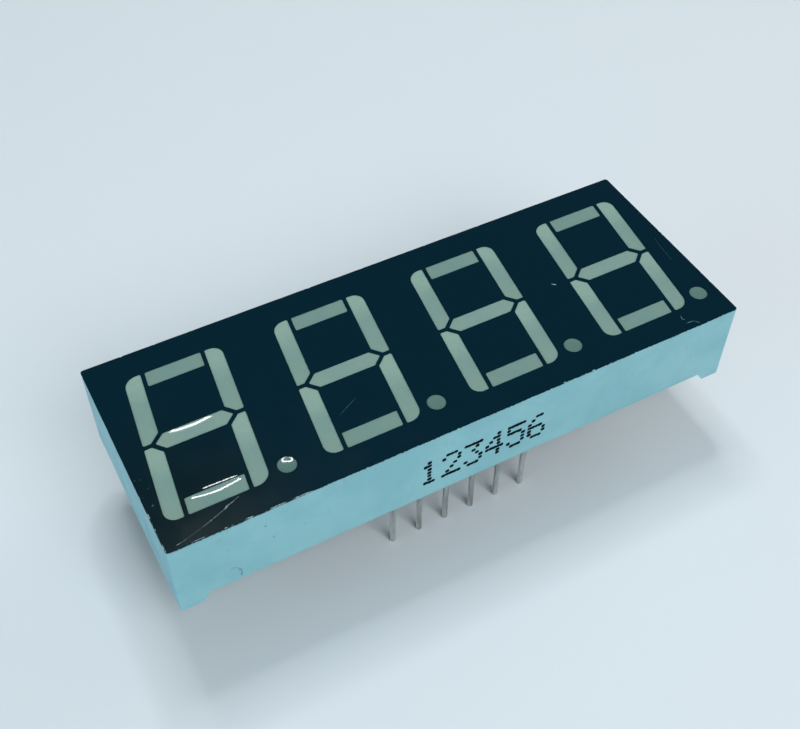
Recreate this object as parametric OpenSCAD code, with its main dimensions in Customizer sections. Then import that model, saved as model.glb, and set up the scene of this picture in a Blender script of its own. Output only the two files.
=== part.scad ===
// Four digit seven segment display module, potted, with twelve through-hole pins.
// Frame: +X along the reading direction, +Y towards the tops of the digits, +Z out of the face.
// Origin: the middle of the pin pattern, in the plane on which the two ends of the body stand.
// All sizes are millimetres.

/* [Body] */
// Length of the body along the reading direction
body_w = 50.5; // [49.6:0.1:64]
// Depth of the body, from the lower edge of the face to the upper one
body_d = 19; // [17.8:0.1:24]
// Height of the body, from its standing ends to the printed face
body_h = 8; // [7.4:0.1:12]
// Radius of the upright outer corners
corner_r = 0.25; // [0.1:0.05:0.8]
// Thickness of the walls round the rear recess
wall_t = 0.9; // [0.6:0.05:1]
// Radius of the upright corners inside the rear recess
recess_r = 0.5; // [0.2:0.05:1]
// Length of the standing foot at each end of a long wall
foot_len = 1.8; // [1.2:0.1:4]
// Rise of the long walls' lower edge above the feet
skirt_rise = 0.9; // [0.3:0.05:1.2]
// Length of the slope between a foot and the raised edge
foot_slope = 0.65; // [0.2:0.05:2]

/* [Digits] */
// Distance between the middles of neighbouring digits
digit_pitch = 12.7; // [12.4:0.05:12.9]
// Height of a digit
digit_h = 14.2; // [12:0.1:17.1]
// Width of a digit before it leans
digit_w = 8.2; // [7:0.1:8.8]
// Lean of the digits from the upright, in degrees
digit_slant = 7.3; // [0:0.1:10]
// Place of the row of digits along the body, from the body's middle
digits_x = -0.3; // [-0.3:0.05:0.4]
// Place of the row of digits across the body, from the body's middle
digits_y = -0.1; // [-0.3:0.05:0.3]

/* [Segments] */
// Width of the upright segments b, c, e and f
upright_w = 1.4; // [1.1:0.05:1.7]
// Height of the level segments a and d
level_h = 1.5; // [1.1:0.05:1.8]
// Height of the middle segment g
middle_h = 1.5; // [1.1:0.05:1.8]
// Gap between neighbouring segments
segment_gap = 0.35; // [0.2:0.01:0.6]
// Angle of the mitred ends of segment g and of the uprights that meet it, in degrees
mitre_angle = 45; // [38:1:52]
// Radius of the four outer corners of a digit
digit_corner_r = 1; // [0.3:0.05:1.1]
// Radius of every other segment corner
segment_corner_r = 0.12; // [0.04:0.01:0.2]
// Distance of the dot from the middle of its digit
dot_x = 4.76; // [4.5:0.01:4.95]
// Radius of the dot, which stands on the digit's base line
dot_r = 0.75; // [0.55:0.01:0.8]

/* [Light wells] */
// Depth of a light well, from the face of the moulding to the board's copper
well_depth = 4.75; // [3:0.05:5]
// Straight depth of a well's wall below the face, before it tapers
well_land = 0.3; // [0.1:0.05:0.8]
// Length of a segment well's floor
well_floor_len = 1.6; // [1.3:0.05:2.2]
// Width of a segment well's floor
well_floor_w = 0.9; // [0.6:0.05:1]
// Radius of a dot well's floor
dot_floor_r = 0.5; // [0.5:0.01:0.54]

/* [Rear cores] */
// Plastic left between the end of a core and the face
core_web = 1.2; // [0.8:0.05:2.5]
// Wall left between a core and the wells round it
core_wall = 0.6; // [0.4:0.05:1]
// Draft of a core's walls, in degrees
core_draft = 5; // [4:0.5:8]

/* [Face] */
// Thickness of the black printed face
mask_t = 0.05; // [0.03:0.01:0.2]

/* [Circuit board] */
// Thickness of the laminate
board_t = 1; // [0.6:0.1:1.1]
// Thickness of the copper on either side
copper_t = 0.035; // [0.02:0.005:0.07]
// Clearance between the board's edge and the recess
board_clearance = 0.15; // [0.05:0.05:0.2]
// Side of the square pad under a chip
die_pad = 0.4; // [0.3:0.01:0.44]
// Side of the square pad under the foot of a wire
wire_pad = 0.3; // [0.1:0.01:0.34]
// Radius of the round pad at a pin
pin_pad_r = 0.6; // [0.45:0.01:0.7]

/* [Light chips] */
// Side of a chip
chip_w = 0.28; // [0.2:0.01:0.3]
// Height of a chip
chip_h = 0.2; // [0.1:0.01:0.3]
// Distance from the middle of a chip to the foot of its wire
bond_span = 0.6; // [0.5:0.01:0.62]
// Diameter of the bond wire
wire_d = 0.03; // [0.02:0.005:0.05]

/* [Pins] */
// Diameter of a pin over its tin
pin_d = 0.5; // [0.4:0.01:0.6]
// Thickness of the tin, which coats a pin from its tip up to the long walls' edge
tin_t = 0.02; // [0.01:0.005:0.03]
// Distance between neighbouring pins of a row
pin_pitch = 2.54; // [2:0.01:3.5]
// Distance between the two rows of pins
pin_rows = 15.24; // [10:0.01:15.5]
// Reach of the pins below the body's standing ends
pin_reach = 6.6; // [2:0.1:8]
// Chamfer at the tip of a pin
pin_tip = 0.08; // [0.03:0.01:0.15]
// Clearance between a pin's bare wire and its hole in the board
pin_hole_clearance = 0.07; // [0.04:0.01:0.12]
// Height of the solder cone round a pin
solder_h = 0.5; // [0.2:0.05:0.6]
// Width of the solder's thin end round a pin
solder_lip = 0.08; // [0.04:0.01:0.15]

/* [Potting] */
// Depth of the rear resin's surface inside the long walls' edge
seal_inset = 0.3; // [0.1:0.05:0.4]

/* [Hidden] */
DIGITS = 4;
PINS = 12;
LETTERS = ["a", "b", "c", "d", "e", "f", "g", "dot"];
// Number of chords in a large and in a small corner
LARGE_STEPS = 8;
SMALL_STEPS = 3;
// How far a cutting solid runs past the faces that it opens
OVER = 0.5;
$fn = 48;

// Heights
face_z = body_h - mask_t;
seat_z = face_z - well_depth;
board_top = seat_z - copper_t;
board_bottom = board_top - board_t;
pad_bottom = board_bottom - copper_t;
seal_z = skirt_rise + seal_inset;

// Plan sizes of the body, of its recess and of the board in it
body_size = [body_w, body_d];
recess_size = body_size - 2 * wall_t * [1, 1];
board_size = recess_size - 2 * board_clearance * [1, 1];

// Lines of an upright digit, from its middle
x_out = digit_w / 2;
x_in = x_out - upright_w;
x_mid = (x_out + x_in) / 2;
y_top = digit_h / 2;
y_low = segment_gap / 2;

pin_r = pin_d / 2;
pin_wire_r = pin_r - tin_t;
pin_hole_r = pin_wire_r + pin_hole_clearance;

function segment_node(digit, letter) =
    letter == "dot" ? str("digit_", digit, "_dot") : str("digit_", digit, "_segment_", letter);

// ---------- outlines ----------

function unit(v) = v / norm(v);

// A convex outline, listed anticlockwise, with corner i rounded to radii[i] in steps[i] chords
function rounded(points, radii, steps) = [
    for (i = [0:len(points) - 1])
        let (
            corner = points[i],
            back = unit(points[(i + len(points) - 1) % len(points)] - corner),
            ahead = unit(points[(i + 1) % len(points)] - corner),
            half_angle = acos(back * ahead) / 2,
            centre = corner + unit(back + ahead) * radii[i] / sin(half_angle),
            spoke = corner + back * radii[i] / tan(half_angle) - centre,
            start = atan2(spoke.y, spoke.x)
        )
        for (k = [0:steps[i]])
            let (angle = start + (180 - 2 * half_angle) * k / steps[i])
            centre + radii[i] * [cos(angle), sin(angle)]
];

function same(value, count) = [for (i = [1:count]) value];

function rectangle_points(size, radius) =
    rounded(
        [[size.x, -size.y] / 2, size / 2, [-size.x, size.y] / 2, -size / 2],
        same(radius, 4),
        same(LARGE_STEPS, 4)
    );

// The lean of the digits: every point moves sideways in proportion to its height
function lean(p) = [p.x + p.y * tan(digit_slant), p.y];

// Segment b before the lean: square at the top, mitred where it meets g, level where it meets c
function upright_points() =
    let (
        mitre_y = (y_low + (x_mid - x_in) * sin(mitre_angle)) / cos(mitre_angle),
        knee_x = x_mid + y_low * (1 - cos(mitre_angle)) / sin(mitre_angle)
    )
    rounded(
        [[x_out, y_low], [x_out, y_top], [x_in, y_top], [x_in, mitre_y], [knee_x, y_low]],
        [segment_corner_r, digit_corner_r, segment_corner_r, segment_corner_r, segment_corner_r],
        [SMALL_STEPS, LARGE_STEPS, SMALL_STEPS, SMALL_STEPS, SMALL_STEPS]
    );

// Segment a before the lean
function level_points() =
    let (
        half_w = x_in - segment_gap,
        y_base = y_top - level_h
    )
    rounded(
        [[half_w, y_base], [half_w, y_top], [-half_w, y_top], [-half_w, y_base]],
        same(segment_corner_r, 4),
        same(SMALL_STEPS, 4)
    );

// Segment g before the lean: a bar with a point at each end
function middle_points() =
    let (
        half_h = middle_h / 2,
        tip_x = x_mid - y_low / sin(mitre_angle),
        shoulder_x = tip_x - half_h / tan(mitre_angle)
    )
    rounded(
        [
            [tip_x, 0], [shoulder_x, half_h], [-shoulder_x, half_h],
            [-tip_x, 0], [-shoulder_x, -half_h], [shoulder_x, -half_h]
        ],
        same(segment_corner_r, 6),
        same(SMALL_STEPS, 6)
    );

// Which side of the digit a segment is on, right and up being positive
function side(letter) =
    [
        letter == "e" || letter == "f" ? -1 : 1,
        letter == "c" || letter == "d" || letter == "e" ? -1 : 1
    ];

function is_upright(letter) = letter == "b" || letter == "c" || letter == "e" || letter == "f";

function segment_points(letter) =
    let (
        points = is_upright(letter) ? upright_points()
            : letter == "g" ? middle_points()
            : level_points()
    )
    [for (p = points) lean([p.x * side(letter).x, p.y * side(letter).y])];

// Middle of a segment or of the dot, from the middle of its digit
function segment_middle(letter) =
    letter == "dot" ? [dot_x, dot_r - y_top]
        : letter == "g" ? [0, 0]
        : is_upright(letter) ? lean([x_mid * side(letter).x, (y_top + y_low) / 2 * side(letter).y])
        : lean([0, (y_top - level_h / 2) * side(letter).y]);

// Direction of a segment's long side; the dot's chip and wire lie across the row
function segment_turn(letter) =
    letter == "dot" ? 90 : is_upright(letter) ? 90 - digit_slant : 0;

// Length and width of a segment's outline, along and across its long side
function segment_size(letter) =
    is_upright(letter) ? [(y_top - y_low) / cos(digit_slant), upright_w * cos(digit_slant)]
        : letter == "g" ? [2 * (x_mid - y_low / sin(mitre_angle)), middle_h]
        : [2 * (x_in - segment_gap) + level_h * tan(digit_slant), level_h];

function digit_middle(digit) = [digits_x + (digit - (DIGITS + 1) / 2) * digit_pitch, digits_y];

// Pins 1 to 6 run to the right below the digits, and 7 to 12 run back above them
function pin_place(number) =
    let (half = PINS / 2)
    number <= half
        ? [(number - (half + 1) / 2) * pin_pitch, -pin_rows / 2]
        : [(half + (half + 1) / 2 - number) * pin_pitch, pin_rows / 2];

// ---------- placing ----------

module at_digit(digit) {
    translate([digit_middle(digit).x, digit_middle(digit).y, 0])
        children();
}

// Puts the children on the floor of a well, with +X along the segment
module on_well_floor(letter) {
    translate([segment_middle(letter).x, segment_middle(letter).y, seat_z])
        rotate([0, 0, segment_turn(letter)])
            children();
}

module at_pins() {
    for (number = [1:PINS])
        translate([pin_place(number).x, pin_place(number).y, 0])
            children();
}

// ---------- light wells ----------

// A long wedge across the local X axis: floor_len wide up to the floor, then end_len wide at its end
module wedge(floor_len, end_len, height, over) {
    rotate([90, 0, 0])
        linear_extrude(height = 2 * body_w, center = true)
            polygon([
                [-floor_len / 2, -over], [floor_len / 2, -over], [floor_len / 2, 0],
                [end_len / 2, height], [-end_len / 2, height], [-floor_len / 2, 0]
            ]);
}

// A wedge that reaches face_len where the land starts, and goes on widening past the face
module well_wedge(face_len, floor_len, over) {
    widening = (face_len - floor_len) / (well_depth - well_land);
    wedge(floor_len, face_len + widening * (well_land + over), well_depth + over, over);
}

// The space of a segment's well: its outline straight down, narrowed by a wedge each way
module segment_well(letter, over) {
    size = segment_size(letter);
    intersection() {
        translate([0, 0, seat_z - over])
            linear_extrude(height = well_depth + 2 * over)
                polygon(segment_points(letter));
        on_well_floor(letter)
            well_wedge(size.x, well_floor_len, over);
        on_well_floor(letter)
            rotate([0, 0, 90])
                well_wedge(size.y, well_floor_w, over);
    }
}

// The space of the dot's well: a cone with a straight land at the face
module dot_well(over) {
    on_well_floor("dot")
        rotate_extrude()
            polygon([
                [0, -over], [dot_floor_r, -over], [dot_floor_r, 0], [dot_r, well_depth - well_land],
                [dot_r, well_depth + over], [0, well_depth + over]
            ]);
}

module light_well(letter, over) {
    if (letter == "dot")
        dot_well(over);
    else
        segment_well(letter, over);
}

// ---------- rear cores ----------

// A drafted pocket into the back of the reflector, which leans with the digits
module core_pocket(middle, mouth) {
    depth = well_depth - core_web;
    end = mouth - 2 * depth * tan(core_draft) * [1, 1];
    translate([middle.x, middle.y, seat_z])
        intersection() {
            rotate([0, 0, -digit_slant])
                wedge(mouth.x, end.x, depth, OVER);
            rotate([0, 0, 90])
                wedge(mouth.y, end.y, depth, OVER);
        }
}

// The two cores inside a digit, each between four wells
module digit_cores() {
    level_y = y_top - level_h / 2;
    inset = well_floor_w + 2 * core_wall;
    for (up = [-1, 1])
        core_pocket(lean([0, up * level_y / 2]), [2 * x_mid - inset, level_y - inset]);
}

// The core between a digit and the next one, above the dot
module gap_core() {
    inset = well_floor_w + 2 * core_wall;
    low_y = 2 * dot_r - y_top + core_wall;
    high_y = y_top - core_wall;
    core_pocket(
        lean([digit_pitch / 2, (low_y + high_y) / 2]),
        [digit_pitch - 2 * x_mid - inset, high_y - low_y]
    );
}

// ---------- light chips and their wires, on a well's floor ----------

module light_chip() {
    translate([-bond_span / 2 - chip_w / 2, -chip_w / 2, 0])
        cube([chip_w, chip_w, chip_h]);
}

// A half ring from the chip's top, and a straight foot down to the wire's pad
module bond_wire() {
    translate([0, 0, chip_h])
        rotate([90, 0, 0])
            rotate_extrude(angle = 180)
                translate([bond_span / 2, 0])
                    circle(d = wire_d);
    translate([bond_span / 2, 0, 0])
        cylinder(h = chip_h, d = wire_d);
}

// ---------- moulded housing ----------

module plate(size, radius, height) {
    linear_extrude(height = height)
        polygon(rectangle_points(size, radius));
}

// Cuts the long walls' lower edges back between the feet
module skirt_cut() {
    foot_x = body_w / 2 - foot_len;
    top_x = foot_x - foot_slope;
    reach = foot_slope * OVER / skirt_rise;
    rotate([90, 0, 0])
        linear_extrude(height = 2 * body_d, center = true)
            polygon([
                [-foot_x - reach, -OVER], [foot_x + reach, -OVER],
                [top_x, skirt_rise], [-top_x, skirt_rise]
            ]);
}

// Space inside the walls, behind the reflector
module rear_recess(bottom, top) {
    translate([0, 0, bottom])
        plate(recess_size, recess_r, top - bottom);
}

module reflector_housing() {
    color([0.86, 0.93, 0.95])
        difference() {
            plate(body_size, corner_r, face_z);
            rear_recess(-OVER, seat_z);
            skirt_cut();
            for (digit = [1:DIGITS])
                at_digit(digit) {
                    for (letter = LETTERS)
                        light_well(letter, OVER);
                    digit_cores();
                    if (digit < DIGITS)
                        gap_core();
                }
        }
}

// ---------- printed face ----------

module face_mask() {
    color([0.03, 0.07, 0.1])
        translate([0, 0, face_z])
            linear_extrude(height = mask_t)
                difference() {
                    polygon(rectangle_points(body_size, corner_r));
                    for (digit = [1:DIGITS])
                        translate(digit_middle(digit)) {
                            for (letter = LETTERS)
                                if (letter != "dot")
                                    polygon(segment_points(letter));
                            translate(segment_middle("dot"))
                                circle(r = dot_r);
                        }
                }
}

// ---------- cast resin in the wells ----------

module light_plug(digit, letter) {
    color([0.56, 0.64, 0.6])
        at_digit(digit)
            difference() {
                light_well(letter, 0);
                on_well_floor(letter) {
                    light_chip();
                    bond_wire();
                }
            }
}

// ---------- chips and wires of one digit ----------

module led_chips(digit) {
    color([0.75, 0.6, 0.25])
        at_digit(digit)
            for (letter = LETTERS)
                on_well_floor(letter)
                    light_chip();
}

module bond_wires(digit) {
    color([0.9, 0.75, 0.3])
        at_digit(digit)
            for (letter = LETTERS)
                on_well_floor(letter)
                    bond_wire();
}

// ---------- circuit board ----------

module circuit_board() {
    color([0.25, 0.42, 0.25])
        difference() {
            translate([0, 0, board_bottom])
                plate(board_size, recess_r, board_t);
            at_pins()
                translate([0, 0, board_bottom - OVER])
                    cylinder(h = board_t + 2 * OVER, r = pin_hole_r);
        }
}

module square_pad(x, side_len) {
    translate([x - side_len / 2, -side_len / 2, -copper_t])
        cube([side_len, side_len, copper_t]);
}

module pin_pad() {
    translate([0, 0, pad_bottom])
        difference() {
            cylinder(h = copper_t, r = pin_pad_r);
            translate([0, 0, -OVER])
                cylinder(h = copper_t + 2 * OVER, r = pin_hole_r);
        }
}

// Pads for the chips and their wires above the board, and for the pins below it
module board_copper() {
    color([0.8, 0.5, 0.25]) {
        for (digit = [1:DIGITS])
            at_digit(digit)
                for (letter = LETTERS)
                    on_well_floor(letter) {
                        square_pad(-bond_span / 2, die_pad);
                        square_pad(bond_span / 2, wire_pad);
                    }
        at_pins()
            pin_pad();
    }
}

// ---------- pins ----------

// Tinned from its chamfered tip to the long walls' edge, and bare from there to the board's top
module pin(number) {
    color([0.78, 0.78, 0.76])
        translate([pin_place(number).x, pin_place(number).y, 0]) {
            translate([0, 0, pin_tip - pin_reach])
                cylinder(h = skirt_rise + pin_reach - pin_tip, r = pin_r);
            translate([0, 0, -pin_reach])
                cylinder(h = pin_tip, r1 = pin_r - pin_tip, r2 = pin_r);
            translate([0, 0, skirt_rise])
                cylinder(h = board_top - skirt_rise, r = pin_wire_r);
        }
}

// The cone of solder below the board, as wide as the pad at its root
module solder_cone() {
    translate([0, 0, pad_bottom - solder_h])
        cylinder(h = solder_h, r1 = pin_wire_r + solder_lip, r2 = pin_pad_r);
}

// The bare wire of a pin, run on past the resin and the board
module pin_core() {
    translate([0, 0, seal_z - OVER])
        cylinder(h = board_top - seal_z + 2 * OVER, r = pin_wire_r);
}

module solder_joints() {
    color([0.7, 0.7, 0.7])
        at_pins()
            difference() {
                solder_cone();
                pin_core();
            }
}

// ---------- rear potting ----------

// Fills the recess behind the board and the ring round its edge
module back_seal() {
    color([0.6, 0.66, 0.6])
        difference() {
            rear_recess(seal_z, seat_z);
            translate([0, 0, board_bottom])
                plate(board_size, recess_r, board_t + copper_t + OVER);
            at_pins() {
                translate([0, 0, pad_bottom])
                    cylinder(h = copper_t + OVER, r = pin_pad_r);
                solder_cone();
                pin_core();
            }
        }
}

// ---------- what is drawn ----------

reflector_housing();
face_mask();
circuit_board();
board_copper();
solder_joints();
back_seal();
for (digit = [1:DIGITS]) {
    for (letter = LETTERS)
        light_plug(digit, letter);
    led_chips(digit);
    bond_wires(digit);
}
for (number = [1:PINS])
    pin(number);
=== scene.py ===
"""Looks of a four digit seven segment display module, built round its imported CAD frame.

The frame gives the moulded housing, the circuit board with its copper, solder, chips and wires, and the
twelve pins. They keep their meshes and get finishes. New pieces stand for the printed face, the light
plugs and the rear resin, whose edges and cast surfaces are finer than the frame's. Pin numbers, run ink,
scratches, hairs and smears are pieces of their own.

Shapes are worked out in millimetres in the frame's axes: +X along the reading direction, +Y towards the
tops of the digits, +Z out of the face. They become metres when a mesh is made.
"""

import logging
import math
from dataclasses import dataclass, field
from enum import Enum
from functools import cache

import bmesh
import bpy
import numpy as np
from mathutils import Matrix, Vector
from mathutils.geometry import delaunay_2d_cdt


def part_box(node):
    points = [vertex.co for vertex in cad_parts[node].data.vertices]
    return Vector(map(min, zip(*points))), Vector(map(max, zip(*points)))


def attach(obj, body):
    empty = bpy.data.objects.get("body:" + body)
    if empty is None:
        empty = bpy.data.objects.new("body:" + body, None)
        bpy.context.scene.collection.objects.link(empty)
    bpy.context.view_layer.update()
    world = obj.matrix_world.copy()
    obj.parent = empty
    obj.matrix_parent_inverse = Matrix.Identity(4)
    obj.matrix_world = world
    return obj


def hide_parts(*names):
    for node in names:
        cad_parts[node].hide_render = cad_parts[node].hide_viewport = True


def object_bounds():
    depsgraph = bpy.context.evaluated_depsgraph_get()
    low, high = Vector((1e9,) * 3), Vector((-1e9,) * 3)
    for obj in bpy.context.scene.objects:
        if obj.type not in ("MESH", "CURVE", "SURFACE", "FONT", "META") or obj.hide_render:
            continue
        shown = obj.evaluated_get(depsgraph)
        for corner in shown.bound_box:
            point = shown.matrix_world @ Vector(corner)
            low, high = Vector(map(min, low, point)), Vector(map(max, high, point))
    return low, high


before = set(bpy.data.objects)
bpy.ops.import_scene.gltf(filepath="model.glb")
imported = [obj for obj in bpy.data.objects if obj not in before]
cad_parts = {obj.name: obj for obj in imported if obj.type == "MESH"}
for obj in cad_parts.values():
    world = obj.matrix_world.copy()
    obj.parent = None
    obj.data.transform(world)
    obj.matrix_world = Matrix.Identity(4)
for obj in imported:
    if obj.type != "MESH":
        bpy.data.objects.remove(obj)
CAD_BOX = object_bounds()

LOG = logging.getLogger("display_module")
MM = 0.001
TURN = 2.0 * math.pi
BODY = "root"
DIGITS = 4
DIGIT_PARTS = (*(f"segment_{letter}" for letter in "abcdefg"), "dot")
PINS = 12
LEVEL_TOLERANCE = 0.002
WELD_METRES = 2e-7
CREASE_DEGREES = 35.0
CUT_INSIDE = 1
CUT_TOLERANCE = 1e-6
NOISE_RANGE = (0.3, 0.7)
PATCH_RANGE = (0.35, 0.7)

Colour = tuple[float, float, float, float]
Triple = tuple[float, float, float]
Pair = tuple[float, float]
Surface = tuple[np.ndarray, np.ndarray]
Socket = bpy.types.NodeSocket
Value = Socket | float | Colour | Triple
Inputs = dict[int | str, Value]


# ---------- numbers and colours ----------


def tone(red: int, green: int, blue: int) -> Colour:
    """Gives the linear colour, with full alpha, of three values of 0 to 255 on the standard display curve."""
    shares = np.array([red, green, blue]) / 255.0
    return (*np.where(shares <= 0.04045, shares / 12.92, ((shares + 0.055) / 1.055) ** 2.4).tolist(), 1.0)


def wandering(along: np.ndarray, period: float, wavelengths: Pair, seed: int) -> np.ndarray:
    """Makes noise along a closed line: a sum of 40 sines that each fit the line a whole number of times.

    The sum is divided by its mean size plus one and a half times that size's spread.

    Args:
        along: Distances along the line.
        period: Length of the whole line.
        wavelengths: Shortest and longest wavelength.
        seed: Seed of the sines' phases and sizes.

    Returns:
        Values of about -1 to 1, one for each distance.
    """
    rng = np.random.default_rng(seed)
    shortest, longest = wavelengths
    waves = np.unique(np.geomspace(period / longest, period / shortest, 40).astype(int))
    phases = rng.uniform(0.0, TURN, waves.size)
    sizes = rng.normal(0.0, 1.0, waves.size)
    total = np.sin(TURN * np.outer(along / period, waves) + phases) @ sizes
    return total / (1.5 * np.abs(total).std() + np.abs(total).mean())


# ---------- outlines ----------


def cad_box(node: str) -> np.ndarray:
    """Gives the lowest and the highest corner of a CAD node in millimetres, one row each."""
    return np.array(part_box(node)) / MM


def densified(loop: np.ndarray, step: float) -> np.ndarray:
    """Adds evenly spaced points on every chord of a closed loop that is longer than step.

    Args:
        loop: Points of the loop, one row each.
        step: Longest chord allowed.

    Returns:
        The finer loop.
    """
    ahead = np.roll(loop, -1, axis=0) - loop
    count = np.maximum(1, np.ceil(np.linalg.norm(ahead, axis=1) / step).astype(int))
    chord = np.repeat(np.arange(len(loop)), count)
    first = np.repeat(np.cumsum(count) - count, count)
    share = (np.arange(chord.size) - first) / count[chord]
    return loop[chord] + ahead[chord] * share[:, None]


def level_outline(node: str, height: float) -> np.ndarray:
    """Finds the convex outline of a CAD node's vertices at one height.

    The points are listed anticlockwise: they are sorted by their direction from their own middle.

    Args:
        node: Name of the CAD node.
        height: Height of the level edge, in millimetres.

    Returns:
        The outline's points in plan.
    """
    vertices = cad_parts[node].data.vertices
    flat = np.empty(len(vertices) * 3)
    vertices.foreach_get("co", flat)
    points = flat.reshape(-1, 3) / MM
    level = np.abs(points[:, 2] - height) < LEVEL_TOLERANCE
    plan = np.unique(np.round(points[level, :2], 3), axis=0)
    spoke = plan - plan.mean(axis=0)
    return plan[np.argsort(np.arctan2(spoke[:, 1], spoke[:, 0]))]


def rounded_rectangle(half: np.ndarray, radius: float, step: float) -> np.ndarray:
    """Draws a rectangle with round corners, centred on the origin, anticlockwise.

    Each corner is a quarter circle round a point that lies one radius inside both sides.

    Args:
        half: Half of the length along X and along Y.
        radius: Radius of the corners.
        step: Longest chord on the straight sides.

    Returns:
        Points of the closed outline.
    """
    quarter = np.linspace(0.0, TURN / 4.0, 9)
    turns = (quarter[None, :] + np.arange(4)[:, None] * TURN / 4.0).ravel()
    sides = np.repeat([[1.0, 1.0], [-1.0, 1.0], [-1.0, -1.0], [1.0, -1.0]], quarter.size, axis=0)
    corners = sides * (half - radius) + radius * np.column_stack([np.cos(turns), np.sin(turns)])
    return densified(corners, step)


def outward_normals(loop: np.ndarray) -> np.ndarray:
    """Gives an anticlockwise loop's unit normals: the chord between a point's neighbours, turned right."""
    chord = np.roll(loop, -1, axis=0) - np.roll(loop, 1, axis=0)
    return chord @ [[0.0, -1.0], [1.0, 0.0]] / np.linalg.norm(chord, axis=1, keepdims=True)


def distance_along(loop: np.ndarray) -> tuple[np.ndarray, float]:
    """Gives each point's distance along a closed loop, and the loop's whole length."""
    chords = np.linalg.norm(np.roll(loop, -1, axis=0) - loop, axis=1)
    return np.cumsum(chords) - chords, float(chords.sum())


def inside_convex(points: np.ndarray, loop: np.ndarray) -> np.ndarray:
    """Tells which points lie to the left of every side of an anticlockwise convex loop.

    Args:
        points: Points to test, one row each.
        loop: Points of the loop.

    Returns:
        One truth value for each point.
    """
    side = np.roll(loop, -1, axis=0) - loop
    offset = points[:, None, :] - loop[None, :, :]
    turn = side[None, :, 0] * offset[:, :, 1] - side[None, :, 1] * offset[:, :, 0]
    return (turn > 0.0).all(axis=1)


# ---------- node trees ----------


class NodeTree:
    """A node tree that is built step by step: most methods add a node and give the socket it ends in."""

    def __init__(self, owner: bpy.types.Material | bpy.types.World) -> None:
        """Empties the tree.

        Args:
            owner: The material or world that the tree belongs to.
        """
        owner.use_nodes = True
        self.tree = owner.node_tree
        self.tree.nodes.clear()

    def fill(self, node: bpy.types.Node, inputs: Inputs) -> None:
        """Links inputs of a node to their sources, or sets their values.

        Args:
            node: The node.
            inputs: A socket or a value for each input, by the input's name or number.
        """
        for key, value in inputs.items():
            if isinstance(value, Socket):
                self.tree.links.new(value, node.inputs[key])
            else:
                node.inputs[key].default_value = value

    def node(self, kind: str, inputs: Inputs, **settings: str) -> bpy.types.Node:
        """Adds a node.

        Args:
            kind: Blender's name for the node, after ShaderNode.
            inputs: A socket or a value for each input that isn't left as it is.
            settings: Values of the node's properties, such as its operation.

        Returns:
            The new node.
        """
        node = self.tree.nodes.new(f"ShaderNode{kind}")
        for name, value in settings.items():
            setattr(node, name, value)
        self.fill(node, inputs)
        return node

    def math(self, operation: str, first: Socket | float, second: Socket | float = 0.0) -> Socket:
        """Works out one operation on one or two values."""
        return self.node("Math", {0: first, 1: second}, operation=operation).outputs[0]

    def between(
        self, value: Socket, low: float, high: float, at_low: float = 0.0, at_high: float = 1.0
    ) -> Socket:
        """Maps a value smoothly from low..high to at_low..at_high, held at both ends."""
        inputs = {"Value": value, "From Min": low, "From Max": high, "To Min": at_low, "To Max": at_high}
        return self.node("MapRange", inputs, interpolation_type="SMOOTHSTEP").outputs["Result"]

    def parts(self, vector: Socket) -> tuple[Socket, ...]:
        """Splits a vector into its three values."""
        return tuple(self.node("SeparateXYZ", {0: vector}).outputs)

    def rays(self) -> tuple[Socket, Socket]:
        """Tells camera rays, and rays that come from a glossy or clear surface."""
        ray = self.node("LightPath", {}).outputs
        return ray["Is Camera Ray"], self.math("MAXIMUM", ray["Is Glossy Ray"], ray["Is Transmission Ray"])


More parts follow.
